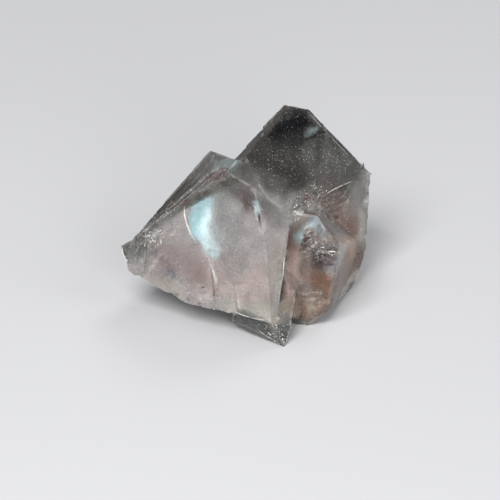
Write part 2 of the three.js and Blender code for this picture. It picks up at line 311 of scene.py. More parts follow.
# %% Points, normals and edges as arrays
points = read_rows(stone_mesh.vertices, "co", 3) / MM
normals = read_rows(stone_mesh.vertices, "normal", 3)
edges = read_rows(stone_mesh.edges, "vertices", 2, np.int32)
stone_low, stone_high = points.min(0), points.max(0)
print("points:", len(points), " edges:", len(edges), " highest point at", round(stone_high[2], 2), "mm")

# %% Distance from the sharp edges
WALK_STEPS = 8
OUT_OF_REACH = 99.0


def sharp_corners(mesh, edges, angle):
    """True for every corner on an edge whose two faces meet at more than the angle: there the
    dot product of their normals is below its cosine."""
    face_normals = read_rows(mesh.polygons, "normal", 3)
    of_edge = read_rows(mesh.loops, "edge_index", 1, np.int32).ravel()
    face = np.repeat(np.arange(len(mesh.polygons)), 3)
    pairs = face[np.argsort(of_edge, kind="stable")].reshape(-1, 2)
    bend = np.einsum("ij,ij->i", face_normals[pairs[:, 0]], face_normals[pairs[:, 1]])
    mask = np.zeros(len(mesh.vertices), dtype=bool)
    mask[edges[bend < math.cos(angle)].ravel()] = True
    return mask


def spread_distance(points, edges, start, steps):
    """Distance from the start corners, walked along the edges: in each step a corner takes the
    least of its own distance and each neighbour's distance plus the edge between them."""
    far = np.where(start, 0.0, OUT_OF_REACH)
    length = np.linalg.norm(points[edges[:, 0]] - points[edges[:, 1]], axis=1)
    for _ in range(steps):
        reach = far.copy()
        np.minimum.at(reach, edges[:, 0], far[edges[:, 1]] + length)
        np.minimum.at(reach, edges[:, 1], far[edges[:, 0]] + length)
        far = reach
    return far


rim_distance = spread_distance(points, edges, sharp_corners(stone_mesh, edges, RIM_ANGLE), WALK_STEPS)
print("corners on sharp edges:", int((rim_distance == 0).sum()))

# %% [markdown]
# ## Chipped edges
#
# Fluorite is brittle, and every handled edge has tiny chips. A bevel would take the same
# strip off every edge. Here points on and near a sharp edge are pushed in along their normals
# by a smooth random wave, only where the wave is high, so that crisp stretches stay between
# the chips. The base is left whole, because the stone stands on it.

# %% Smooth steps and random waves


def smooth(low, high, value):
    """0 below low, 1 above high, and s * s * (3 - 2 s) for the share s of the way between."""
    share = np.clip((value - low) / (high - low), 0, 1)
    return share * share * (3 - 2 * share)


def waves(places, wavelength, seed, count=14):
    """A smooth random field from -1 to 1: the sum of sine waves in random directions, with
    random lengths and phases, over the square root of twice their count."""
    draw = np.random.default_rng(seed)
    directions = draw.normal(size=(count, 3))
    directions /= np.linalg.norm(directions, axis=1)[:, None]
    lengths = wavelength * draw.uniform(0.7, 1.5, count)
    phases = draw.uniform(0, 2 * math.pi, count)
    total = np.sin(places @ (directions / lengths[:, None]).T * 2 * math.pi + phases).sum(1)
    return np.clip(total / math.sqrt(2 * count), -1, 1)


BROAD_CHIPS = 1.4
FINE_CHIPS = 0.5
chip = smooth(0.1, 0.9, waves(points, BROAD_CHIPS, 5)) + 0.35 * smooth(0, 0.8, waves(points, FINE_CHIPS, 6))
print("share of points where a chip may lie:", round(float((chip > 0).mean()), 2))

# %% Push the chips in
CHIP_DEPTH = 0.09
CHIP_REACH = 0.5
BASE_WHOLE_BELOW = 0.05
BASE_CHIPPED_ABOVE = 0.4

near_rim = 1 - smooth(0, CHIP_REACH, rim_distance)
off_base = smooth(BASE_WHOLE_BELOW, BASE_CHIPPED_ABOVE, points[:, 2])
chipped = points - normals * (CHIP_DEPTH * near_rim * chip * off_base)[:, None]
chipped = np.clip(chipped, stone_low, stone_high)
stone_mesh.vertices.foreach_set("co", (chipped * MM).ravel())
print("deepest chip", round(float((CHIP_DEPTH * near_rim * chip).max()), 2), "mm")

# %% [markdown]
# ## Colour in depth
#
# The colour of fluorite lies in zones inside the crystal: smoky at the top, pinkish in the
# heart, milky where old cracks healed. Some zones paint light and shade instead: painted shade
# at the very top of the smoky crystal and in the red cleft, a paler tone that partly lights
# the shaded cleft by the lump, and painted highlights on a pale patch, in the glares, along the
# steps and along the rims. A noise texture could give colours like these, but not in their
# right places. So each zone is a soft blob round a line through the stone, with a colour and a
# clearness. The zones are laid over each other like glazes, in the order in which they are
# written, and stored on the points of the mesh.

# %% The main faces of the crystals


def above(face, places):
    """How far points stand over a face: the dot product with the way it looks, less its
    distance from the middle. Points under the face give negative numbers."""
    return places @ face[0] - face[1]


# Each face: the way it looks, and its distance from the middle in mm.
FRONT = (facing(-116, 12), 14.35)
RIGHT = (facing(-45.6, 13.2), 15.45)
LEFT_TOP = (facing(173.1, 47.4), 20.74)
CREST = (facing(43.9, 42.9), 11.9)
SEAM = (facing(12.1, -13.5), 0.42)
SMOKY = (facing(-32.9, 37.4), 16.88)
BEVEL = (facing(169.3, 54.3), 20.84)
CHEEK = (facing(-36.7, 22.9), 13.39)
BROW = (facing(-118, 40), 10.28)
SHIN = (facing(-124.2, -4.6), 11.68)

# The faces round the smoky one, which give its outline.
SMOKY_LIMITS = [
    (facing(169.3, 54.3), 20.8), (facing(43.1, 31.5), 27.57), (facing(144.2, 11.6), 6.86),
    (facing(-36.7, 22.9), 13.51), (facing(85, 54.3), 29.41),
]
print("points behind the crest:", int((above(CREST, points) > 0).sum()))

# %% [markdown]
# ## The zones
#
# Each zone is written as the points of its middle line, its radius in mm, how soft its border
# is from 0 to 1, its colour as it looks on a screen, its clearness from 0, cloudy, to 1, glass,
# and its strength. A line runs near the faces that show its colour, because colours are stored
# on the surface only.

# %% The two crystals, and the zones of the smoky one


def tone(red, green, blue):
    """A colour given as it looks on a screen, from 0 to 255, as amounts of light: the share
    of 255 to the power 2.2."""
    return (np.array([red, green, blue]) / 255) ** 2.2


FRONT_COLOUR = tone(185, 180, 178)
FRONT_CLEAR = 0.6
REAR_COLOUR = tone(184, 182, 178)
REAR_CLEAR = 0.74

SMOKY_ZONES = {
    "smoky_body": ([(2.5, 1.5, 24.0), (8.5, 6.5, 22.0), (14.0, 10.0, 18.0)],
        7.0, 0.4, (75, 74, 71), 0.62, 1.0),
    # Nearly black at the very top of the smoky crystal: painted shade, laid over its smoky colour.
    "smoky_top_painted_shade": ([(4.6, 6.0, 26.9), (6.6, 8.8, 26.4), (9.6, 11.4, 24.6)], 4.2, 0.8, (6, 7, 9), 0.93, 1.0),
    "smoky_foot": ([(4.6, -1.6, 21.6), (12.5, 3.5, 16.6)], 2.8, 0.9, (74, 68, 63), 0.7, 0.7),
    # A pale bluish streak on the smoky face: a painted highlight.
    "pale_patch_painted_highlight": ([(9.7, 9.4, 23.9), (12.0, 12.3, 23.7)], 0.8, 0.8, (150, 166, 172), 0.45, 0.8),
}
print("zones of the smoky crystal:", ", ".join(SMOKY_ZONES))

# %% The zones of the right side

RIGHT_ZONES = {
    "cheek": ([(13.3, 3.4, 14.0), (15.5, 4.5, 11.0)], 4.6, 0.8, (106, 86, 78), 0.62, 0.9),
    "right_low": ([(18.0, 3.0, 8.0), (15.5, -3.5, 5.0)], 4.0, 0.7, (148, 120, 99), 0.5, 0.95),
    "right_corner": ([(17.4, 9.2, 14.4), (19.0, 9.4, 11.7)], 1.8, 0.7, (136, 135, 133), 0.55, 0.9),
    # A pale band along the right rim: a painted highlight where the rim gleams.
    "right_rim_painted_gleam": ([(18.6, 7.4, 10.2), (18.6, 5.9, 7.8), (18.2, 4.3, 6.1)],
        1.3, 0.9, (176, 176, 170), 0.55, 0.85),
    "brown_round": ([(15.0, 4.4, 12.2), (16.6, 5.2, 10.2), (16.2, 2.4, 9.8)],
        2.2, 0.6, (148, 122, 113), 0.66, 0.9),
    "tan_ledge": ([(15.0, -4.6, 11.4), (16.5, -1.2, 9.0), (16.8, 0.5, 6.2)],
        1.8, 0.6, (172, 140, 114), 0.42, 0.95),
    "pink_corner": ([(18.4, 3.7, 4.7), (17.8, 2.3, 3.9)], 1.2, 0.7, (150, 124, 118), 0.6, 0.8),
    # A pale band along the rim of the foot: a painted highlight where the rim gleams.
    "foot_rim_painted_gleam": ([(18.0, 1.5, 2.6), (15.6, -2.6, 1.2), (12.0, -8.0, 0.8)],
        1.1, 0.6, (196, 188, 180), 0.45, 0.85),
}
print("zones of the right side:", ", ".join(RIGHT_ZONES))

# %% The zones of the lump and the cleft beside it

LUMP_ZONES = {
    "lump": ([(10.6, -7.6, 14.0), (11.4, -9.6, 9.0), (11.4, -10.8, 3.5)],
        4.4, 0.4, (136, 116, 106), 0.62, 0.95),
    # Dark red in the cleft between the crystals: a reddish tone of the stone, darkened with painted shade.
    "red_cleft_painted_shade": ([(9.8, 0.6, 16.4), (9.9, -3.8, 16.2)], 1.1, 0.9, (104, 66, 56), 0.65, 0.95),
    "lump_left": ([(7.6, -7.3, 12.7), (8.0, -9.1, 10.3), (8.2, -10.2, 7.4)],
        0.9, 0.9, (168, 158, 148), 0.5, 0.7),
    "lump_dark": ([(10.1, -8.3, 12.8), (11.7, -9.3, 11.4), (13.0, -8.3, 12.5)],
        1.7, 0.8, (86, 72, 67), 0.72, 0.95),
    "lump_purple": ([(13.0, -9.3, 10.4), (14.2, -8.3, 8.9)], 1.2, 0.7, (116, 104, 112), 0.7, 0.9),
    "lump_orange": ([(10.6, -10.2, 8.0), (13.0, -10.6, 7.2), (13.4, -10.4, 5.0)],
        2.0, 0.7, (142, 105, 84), 0.55, 0.9),
    "lump_foot": ([(8.2, -11.4, 3.4), (9.4, -10.9, 5.0), (11.4, -11.1, 3.5), (9.8, -11.2, 2.1)],
        1.9, 0.7, (168, 144, 126), 0.55, 0.9),
    "foot_left": ([(6.6, -13.3, 4.8), (7.3, -12.0, 2.0)], 1.5, 0.7, (164, 144, 124), 0.45, 0.9),
    "cleft_top": ([(6.9, -5.8, 13.7), (7.0, -7.2, 12.3)], 0.9, 0.6, (168, 140, 134), 0.5, 0.95),
    # Pinkish in the cleft beside the lump: the stone's colour, made paler as painted light that lifts the
    # shade.
    "cleft": ([(7.0, -7.9, 11.5), (6.8, -11.4, 5.8)], 1.3, 0.5, (186, 162, 154), 0.42, 0.95),
    "lump_blue": ([(10.6, -5.6, 16.3), (11.8, -6.9, 15.3)], 1.2, 0.8, (116, 136, 146), 0.6, 0.85),
    "lump_glare": ([(8.2, -6.7, 13.4), (9.1, -6.1, 14.6), (10.4, -5.9, 15.5)],
        0.9, 0.9, (178, 206, 213), 0.35, 0.85),
}
print("zones of the lump:", ", ".join(LUMP_ZONES))

# %% The zones of the front crystal

FRONT_ZONES = {
    "left_pink": ([(-12.0, -8.2, 10.0), (-7.6, -10.2, 9.4)], 4.6, 0.8, (152, 136, 134), 0.5, 0.95),
    "left_tip": ([(-18.8, -3.0, 9.6), (-16.4, -5.6, 11.4)], 2.6, 0.9, (112, 115, 112), 0.7, 0.9),
    # A pale band along the lower-left edge: a painted highlight where that edge gleams.
    "left_foot_painted_gleam": ([(-15.5, -7.2, 6.4), (-11.0, -10.0, 4.4)], 1.3, 0.8, (180, 174, 164), 0.5, 0.8),
    "blue_spot": ([(-12.3, -8.5, 8.4), (-11.6, -8.8, 7.2)], 0.9, 0.9, (106, 110, 124), 0.5, 0.9),
    "crest_grey": ([(-5.4, -7.6, 23.6), (-1.6, -9.6, 24.4), (0.6, -10.6, 22.4)],
        2.7, 0.9, (112, 111, 109), 0.68, 0.95),
    "red_heart": ([(-0.6, -10.2, 23.2), (0.6, -11.2, 21.4)], 1.3, 0.9, (106, 82, 80), 0.6, 0.9),
    "low_pink": ([(-4.6, -12.2, 8.6), (0.0, -14.0, 7.4), (2.2, -15.0, 10.2)],
        3.9, 1.0, (205, 186, 181), 0.45, 0.75),
    "low_pale": ([(-3.5, -13.6, 4.6), (3.6, -16.2, 5.2)], 1.8, 0.8, (194, 190, 179), 0.45, 0.85),
    "facet_grey": ([(2.8, -11.0, 21.8), (5.0, -10.8, 18.8)], 2.2, 0.8, (112, 112, 112), 0.6, 0.95),
    "facet_pale": ([(5.0, -12.2, 14.5), (4.8, -15.0, 8.0)], 1.9, 0.7, (182, 172, 164), 0.42, 0.9),
    # Thin pale lines along the two steps of the front face: painted highlights on the step edges.
    "step_painted_highlight": ([(-5.7, -11.2, 11.4), (-5.2, -12.2, 8.0)], 0.4, 0.7, (222, 224, 222), 0.25, 0.8),
    "low_step_painted_highlight": ([(-1.9, -12.8, 8.2), (-1.6, -13.6, 5.4)], 0.35, 0.7, (222, 220, 216), 0.25, 0.7),
    "fissure_glare": ([(1.2, -11.4, 22.4), (1.7, -12.0, 20.9)], 0.6, 0.8, (176, 194, 198), 0.35, 0.7),
    "veil_glow": ([(-6.2, -8.2, 21.6), (-6.4, -9.0, 18.6), (-5.6, -9.8, 15.2)],
        2.6, 0.9, (172, 186, 188), 0.5, 0.7),
    "veil": ([(-6.9, -8.1, 20.4), (-8.2, -8.2, 17.9), (-7.2, -9.2, 15.2)],
        1.45, 0.4, (172, 206, 212), 0.4, 0.9),
    "veil_core": ([(-6.6, -8.7, 18.4), (-7.0, -9.0, 17.0), (-6.8, -9.6, 14.8)],
        1.15, 1.0, (226, 247, 250), 0.25, 0.95),
}
print("zones of the front crystal:", ", ".join(FRONT_ZONES))

# %% The last glazes, laid over the others, and the prism

LAST_ZONES = {
    "tip_dark": ([(-19.8, -3.0, 9.9), (-19.2, -3.6, 8.2)], 0.9, 0.6, (70, 72, 72), 0.8, 0.9),
    "mid_grey": ([(-3.9, -9.8, 21.4), (-2.6, -10.6, 18.0)], 2.4, 1.0, (136, 138, 138), 0.6, 0.6),
    "smoky_low": ([(3.4, -3.0, 22.2), (6.4, -3.2, 19.4)], 1.8, 0.9, (76, 74, 70), 0.7, 0.8),
    "smoky_tip": ([(4.9, 7.6, 28.2), (7.2, 10.0, 27.9)], 1.3, 0.9, (84, 84, 82), 0.6, 0.8),
    "smoky_grey": ([(12.0, 6.5, 20.0), (15.6, 10.6, 17.6)], 3.6, 1.0, (110, 110, 108), 0.58, 0.45),
    "lump_side": ([(15.7, -3.4, 8.2), (14.2, -8.0, 5.6)], 1.8, 0.9, (116, 74, 50), 0.55, 0.9),
    "veil_tail": ([(-6.2, -9.8, 14.4), (-5.0, -10.8, 12.2)], 1.2, 0.6, (206, 224, 226), 0.35, 0.9),
}
PRISM_ZONES = {
    "prism": ([(0.0, -13.5, 2.4), (6.0, -17.5, 0.6)], 3.0, 0.4, (178, 181, 178), 0.88, 0.95),
    "prism_top": ([(5.9, -13.6, 4.8), (5.1, -15.4, 4.3)], 1.1, 0.8, (172, 163, 146), 0.5, 0.8),
}
ZONES = {**SMOKY_ZONES, **RIGHT_ZONES, **LUMP_ZONES, **FRONT_ZONES, **LAST_ZONES, **PRISM_ZONES}
print("zones in all:", len(ZONES))

# %% [markdown]
# ## Skins
#
# Two faces and a bevel have a tone of their own that follows the whole face, like a thin skin.
# A blob round a line would show a round border there. So a skin is laid wherever a point lies
# within the skin's depth of the face, and the red streaks and the crest slab are glazed over
# it last.

# %% The skins, and the zones in them
# Each skin: its face, its depth in mm, colour, clearness and strength.
SKINS = {
    "left_top": (LEFT_TOP, 1.2, (122, 120, 117), 0.6, 1.0),
    "right_facet": (RIGHT, 0.7, (176, 170, 165), 0.5, 0.3),
    "bevel": (BEVEL, 1.0, (104, 100, 92), 0.85, 0.9),
}

SKIN_ZONES = {
    "strip_red": ([(-4.0, -7.2, 25.2), (-6.9, -6.3, 22.5), (-10.4, -5.9, 19.0)],
        1.1, 0.5, (100, 72, 66), 0.6, 0.9),
    "crest_slab": ([(-3.8, -1.9, 24.5), (-2.2, -5.4, 25.7)], 1.9, 0.4, (138, 151, 149), 0.5, 1.0),
    "strip_red_wide": ([(-4.2, -6.4, 25.0), (-5.8, -5.4, 23.4)], 1.5, 0.6, (112, 80, 74), 0.6, 0.85),
    "strip_low": ([(-11.5, -6.4, 18.0), (-13.9, -5.7, 15.8)], 1.0, 0.9, (150, 149, 146), 0.55, 0.7),
    "strip_band": ([(-6.0, -1.8, 22.7), (-9.0, -2.6, 19.8)], 0.6, 0.6, (104, 82, 76), 0.6, 0.9),
}
print("skins:", ", ".join(SKINS), " zones in them:", ", ".join(SKIN_ZONES))

# %% Distances and weights


def line_distance(places, line):
    """Distance of every point from a line of straight stretches. On each stretch the nearest
    place is start + share * along, with the share of the dot product held between 0 and 1."""
    line = np.array(line)
    nearest = np.full(len(places), np.inf)
    for start, end in zip(line[:-1], line[1:]):
        along = end - start
        share = np.clip((places - start) @ along / (along @ along), 0, 1)
        nearest = np.minimum(nearest, np.linalg.norm(places - start - share[:, None] * along, axis=1))
    return nearest


def zone_weight(places, line, radius, softness, strength):
    """The strength near the line. It falls to 0 while the distance, in radii, goes from
    1 - softness to 1 + 0.4 * softness."""
    reach = line_distance(places, line) / radius
    return strength * (1 - smooth(1 - softness, 1 + 0.4 * softness, reach))


def skin_weight(places, face, skin, strength):
    """The strength from half the skin's depth under the face upwards. It falls to 0 at the
    whole depth, and again from 0.2 to 0.5 mm over the face, where other stone begins."""
    over = above(face, places)
    return strength * smooth(-skin, -0.5 * skin, over) * (1 - smooth(0.2, 0.5, over))


print("nearest point to the first zone:",
      round(float(line_distance(points, next(iter(ZONES.values()))[0]).min()), 2), "mm")

# %% Paint the zones
BORDER_WAVE = 4.0
BORDER_SWAY = 0.7
SEAM_BLUR = 0.3


def glaze(colour, clear, weight, tint, clearness):
    """Moves the colours and clearness towards the glaze's own, by the weight, in place."""
    colour += weight[:, None] * (tone(*tint) - colour)
    clear += weight * (clearness - clear)


def paint_zones(places):
    """Colour and clearness of every point: the two crystals first, then each zone, the skins,
    and the zones in the skins. Random waves bend the borders of the zones."""
    share = smooth(-SEAM_BLUR, SEAM_BLUR, np.maximum(above(CREST, places), above(SEAM, places)))
    colour = FRONT_COLOUR + share[:, None] * (REAR_COLOUR - FRONT_COLOUR)
    clear = FRONT_CLEAR + share * (REAR_CLEAR - FRONT_CLEAR)
    sway = BORDER_SWAY * np.stack([waves(places, BORDER_WAVE, seed) for seed in (11, 12, 13)], axis=1)

    def glaze_zones(zones):
        """Glazes each zone in turn."""
        for line, radius, softness, tint, clearness, strength in zones.values():
            weight = zone_weight(places + sway, line, radius, softness, strength)
            glaze(colour, clear, weight, tint, clearness)

    glaze_zones(ZONES)
    for face, skin, tint, clearness, strength in SKINS.values():
        glaze(colour, clear, skin_weight(places, face, skin, strength), tint, clearness)
    glaze_zones(SKIN_ZONES)
    return colour, clear


zone_colour, zone_clear = paint_zones(points)
print("clearness from", round(float(zone_clear.min()), 2), "to", round(float(zone_clear.max()), 2))

# %% [markdown]
# ## Shattered places and frosty edges
#
# At the junction of the crystals, in the lump and along the lower edges, the stone is full of
# small cracks that glitter. Those places are marked by lines again, and the material breaks
# the light there. Worn edges look frosty, because their chips scatter light. The frost is
# patchy, and it stays off two kinds of place that are clean: the open smoky face, and the
# crisp edge where the front and the right face meet.

# %% Mark the shattered places
# Each place: the points of a line, and a radius in mm.
SHATTERED = [
    ([(6.6, -5.0, 17.6), (10.8, 2.4, 16.8)], 2.0),
    ([(12.0, 2.4, 16.0), (16.6, 5.6, 12.6)], 2.6),
    ([(9.6, -7.8, 13.2), (13.2, -8.4, 11.6)], 2.2),
    ([(8.6, -10.8, 5.0), (13.0, -10.4, 4.0)], 2.2),
    ([(16.0, -2.5, 8.0), (17.8, 2.5, 5.0)], 2.0),
    ([(-17.0, -4.6, 8.5), (-4.0, -12.6, 4.8)], 1.8),
    ([(-18.4, -2.0, 10.0), (-14.0, -4.4, 14.0)], 1.8),
    ([(2.6, -14.6, 3.2), (5.2, -14.8, 3.2)], 1.0),
    ([(5.4, -12.0, 14.0), (4.8, -15.0, 7.0)], 0.9),
    ([(-0.5, -13.8, 2.2), (6.0, -17.4, 1.0)], 2.0),
]

shatter = np.max(
    [1 - smooth(0.5, 1.1, line_distance(points, line) / radius) for line, radius in SHATTERED], axis=0
)
print("shattered share of the points:", round(float((shatter > 0.5).mean()), 2))

# %% Frost the worn edges
FROST_PATCH = 1.5
FROST_PALE = 0.75
FROST_TINT = 0.09

open_face = smooth(0.5, 1.0, np.min([-above(face, points) for face in SMOKY_LIMITS], axis=0))
off_crisp_edge = smooth(0.4, 1.0, np.maximum(-above(FRONT, points), -above(RIGHT, points)))
frost = near_rim * smooth(-0.4, 0.6, waves(points, FROST_PATCH, 21))
frost *= (1 - open_face) * (0.2 + 0.8 * off_crisp_edge)
zone_colour += (FROST_TINT * frost)[:, None] * (FROST_PALE - zone_colour)
print("mean frost on the rims:", round(float(frost[rim_distance == 0].mean()), 2))

# %% Store all of it on the mesh


def write_attribute(mesh, name, values):
    """Puts one value, or one colour with an alpha of 1, on every point of a mesh."""
    if values.ndim == 1:
        mesh.attributes.new(name, "FLOAT", "POINT").data.foreach_set("value", values.astype(np.float32))
        return
    rows = np.concatenate([values, np.ones((len(values), 1))], axis=1).astype(np.float32)
    mesh.attributes.new(name, "FLOAT_COLOR", "POINT").data.foreach_set("color", rows.ravel())


write_attribute(stone_mesh, "zone_colour", np.clip(zone_colour, 0, 1))
write_attribute(stone_mesh, "zone_clear", np.clip(zone_clear, 0, 1))
write_attribute(stone_mesh, "frost", np.clip(frost, 0, 1))
write_attribute(stone_mesh, "shatter", shatter)
print("attributes:", ", ".join(name for name in stone_mesh.attributes.keys() if not name.startswith(".")))

# %% [markdown]
# ## Fluorite
#
# Pure glass would show none of the milky depth, and pure wax none of the clearness. The
# material mixes the two by the clearness: a glassy part that lets light through and bends it by
# fluorite's own index of 1.434, and a cloudy part that scatters light under the surface. The
# pattern nodes read Object coordinates in metres, so a scale of 450 gives clouds about 2 mm
# wide, and 3000 gives grains about a third of a millimetre wide.

# %% Small node helpers


def add(tree, kind, inputs=None, **settings):
    """A new node with its settings and its inputs."""
    node = tree.nodes.new(kind)
    for key, value in settings.items():
        setattr(node, key, value)
    fill(tree, node, inputs or {})
    return node


def object_place(tree):
    """The place of each shaded point in the object's own frame, in metres."""
    return add(tree, "ShaderNodeTexCoord").outputs["Object"]


def stored(tree, name, output="Fac"):
    """A value or colour that was stored on the mesh."""
    return add(tree, "ShaderNodeAttribute", attribute_name=name).outputs[output]


def ramp(tree, value, low, high, start=0.0, end=1.0):
    """A number that goes evenly from start to end while value goes from low to high."""
    inputs = {"Value": value, "From Min": low, "From Max": high, "To Min": start, "To Max": end}
    return add(tree, "ShaderNodeMapRange", inputs).outputs["Result"]


def noise(tree, place, scale, detail=3.0, roughness=0.55):
    """A smooth random number from 0 to 1, about 0.5 on the whole: noise in several sizes, each
    half as large as the one before and weaker by the roughness."""
    inputs = {"Vector": place, "Scale": scale, "Detail": detail, "Roughness": roughness}
    return add(tree, "ShaderNodeTexNoise", inputs).outputs["Fac"]


def maths(tree, operation, first, second):
    """Two numbers added, subtracted or multiplied."""
    return add(tree, "ShaderNodeMath", {0: first, 1: second}, operation=operation).outputs[0]


def vectors(tree, operation, first, second, output="Vector"):
    """Two vectors subtracted, or their dot product."""
    return add(tree, "ShaderNodeVectorMath", {0: first, 1: second}, operation=operation).outputs[output]


def mixed(tree, share, first, second):
    """The first colour, moved towards the second by the share."""
    return add(tree, "ShaderNodeMix", {0: share, 6: first, 7: second}, data_type="RGBA").outputs[2]


print("node helpers ready for", bpy.app.version_string)

# %% Clouds, grain and flecks in the colour
CLOUD_SCALE = 450
GRAIN_SCALE = 3200
FLECK_SCALE = 3000
FLECK_COLOUR = (0.8, 0.8, 0.78, 1)


def clouded_colour(tree, place, colour):
    """The colour, its brightness multiplied by a cloud from 0.84 to 1.16 and a grain from
    0.82 to 1.18, with pale flecks where a third noise is above 0.62."""
    cloud = ramp(tree, noise(tree, place, CLOUD_SCALE, 4.0), 0.3, 0.7, 0.84, 1.16)
    grain = ramp(tree, noise(tree, place, GRAIN_SCALE, 3.0), 0.3, 0.7, 0.82, 1.18)
    values = {"Color": colour, "Value": maths(tree, "MULTIPLY", cloud, grain)}
    mottled = add(tree, "ShaderNodeHueSaturation", values).outputs["Color"]
    fleck = ramp(tree, noise(tree, place, FLECK_SCALE, 2.0), 0.62, 0.7, 0, 0.55)
    return mixed(tree, fleck, mottled, FLECK_COLOUR)


print("clouds are about", round(1 / CLOUD_SCALE / MM, 1), "mm wide")

# %% [markdown]
# ## Broken facets
#
# Shattered fluorite shows flat splinter faces that each lean their own way and flash one by
# one. Noise bumps look like soft dimples instead. So space is cut into Voronoi cells, and each
# cell gets a plane: its height is the dot product of the cell's own random tilt with the place
# relative to the cell's middle. The borders between cells are pale cracks.

# %% Flat facets and cracks
CELL_SCALE = 1300.0
CELL_FLATTEN = (1, 1, 2)


def facets(tree, place):
    """Slope of the tilted planes, and a crack mask that falls from 0.5 on the border between
    two cells to 0 at a small distance from it."""
    place = add(tree, "ShaderNodeMapping", {"Vector": place, "Scale": CELL_FLATTEN}).outputs["Vector"]
    cells = {"Vector": place, "Scale": CELL_SCALE}
    cell = add(tree, "ShaderNodeTexVoronoi", cells).outputs
    tilt = vectors(tree, "SUBTRACT", cell["Color"], (0.5, 0.5, 0.5))
    away = vectors(tree, "SUBTRACT", place, cell["Position"])
    slope = vectors(tree, "DOT_PRODUCT", tilt, away, "Value")
    border = add(tree, "ShaderNodeTexVoronoi", cells, feature="DISTANCE_TO_EDGE").outputs["Distance"]
    return slope, ramp(tree, border, 0.0, 0.05, 0.5, 0.0)


print("facets are about", round(1 / CELL_SCALE / MM, 1), "mm wide")

# %% Cleavage lines and pits
FACET_SLOPE = 24000
LINE_TURN = (0.35, -0.12, 0.42)
LINE_SCALE = (3200, 420, 260)
PIT_SCALE = 2600
RELIEF_STRENGTH = 0.35
RELIEF_HEIGHT = 0.05 * MM


def relief(tree, place, shattered, slope):
    """The bumped normal. Its height is half a noise stretched into lines, plus pits where a
    second noise is above 0.55, plus shattered * FACET_SLOPE * slope for the facets."""
    along = add(tree, "ShaderNodeMapping", {"Vector": place, "Rotation": LINE_TURN, "Scale": LINE_SCALE})
    lines = noise(tree, along.outputs["Vector"], 1.0, 2.0)
    pits = noise(tree, place, PIT_SCALE, 2.0)
    height = maths(tree, "ADD", maths(tree, "MULTIPLY", lines, 0.5), ramp(tree, pits, 0.55, 0.75, 0, 0.7))
    facet_height = maths(tree, "MULTIPLY", shattered, maths(tree, "MULTIPLY", slope, FACET_SLOPE))
    height = maths(tree, "ADD", height, facet_height)
    bump = {"Height": height, "Strength": RELIEF_STRENGTH, "Distance": RELIEF_HEIGHT}
    return add(tree, "ShaderNodeBump", bump).outputs["Normal"]


print("cleavage lines are about", round(1 / LINE_SCALE[0] / MM, 2), "mm apart")

# %% The fluorite material
CRACK_COLOUR = (0.85, 0.85, 0.82, 1)
FLUORITE_IOR = 1.434
SHADER_VALUES = {
    "IOR": FLUORITE_IOR,
    "Coat Weight": 0.1,
    "Coat Roughness": 0.08,
    "Coat IOR": FLUORITE_IOR,
    "Subsurface Weight": 1.0,
    "Subsurface Radius": (1.0, 0.9, 0.88),
    "Subsurface Scale": 1.5 * MM,
}
ABSORPTION = {"Color": (0.5, 0.4, 0.38, 1), "Density": 8.0}


def fluorite_material():
    """Glass and cloud mixed by the clearness. The roughness goes from 0.32, cloudy, to 0.16,
    clear, plus up to 0.2 for frost, which also takes up to 0.3 off the light let through. A
    thin smooth coat keeps the faces glossy, and absorption tints what passes. The order in
    which the nodes are made is kept on purpose: in another order the stone came out black."""
    material, tree, shader = new_material("fluorite_crystal")
    place = object_place(tree)
    colour = stored(tree, "zone_colour", "Color")
    clear, frosty, shattered = (stored(tree, name) for name in ("zone_clear", "frost", "shatter"))
    clouded = clouded_colour(tree, place, colour)
    slope, crack = facets(tree, place)
    cracked = mixed(tree, maths(tree, "MULTIPLY", shattered, crack), clouded, CRACK_COLOUR)
    normal = relief(tree, place, shattered, slope)
    rough = maths(tree, "ADD", ramp(tree, clear, 0.4, 0.95, 0.32, 0.16), ramp(tree, frosty, 0, 1, 0, 0.2))
    passing = maths(tree, "SUBTRACT", clear, ramp(tree, frosty, 0, 1, 0, 0.3))
    varied = {"Base Color": cracked, "Normal": normal, "Roughness": rough, "Transmission Weight": passing}
    fill(tree, shader, {**SHADER_VALUES, **varied})
    absorption = add(tree, "ShaderNodeVolumeAbsorption", ABSORPTION)
    fill(tree, tree.nodes["Material Output"], {"Volume": absorption.outputs["Volume"]})
    return material


stone = link(bpy.data.objects.new("fluorite_stone", stone_mesh))
stone_mesh.materials.append(fluorite_material())
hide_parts("fluorite")
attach(stone, "root")
print(stone.name, "stands for the solid, with", len(stone_mesh.materials[0].node_tree.nodes), "nodes")

# %% [markdown]
# ## Flat tubes
#
# Inside the stone lie thin curved sheets, where old cracks have half healed. They catch the
# light as pale bluish veils and thin bright arcs. A curve object with a bevel would be round.
# A flat tube is an ellipse carried along an arc through three points, and it narrows to a
# point at both ends. Wide ones are veils, thin ones are arcs, and thin ones laid on edges are
# painted highlights where those edges gleam.

# %% An ellipse carried along an arc
ALONG = 28
AROUND = 12


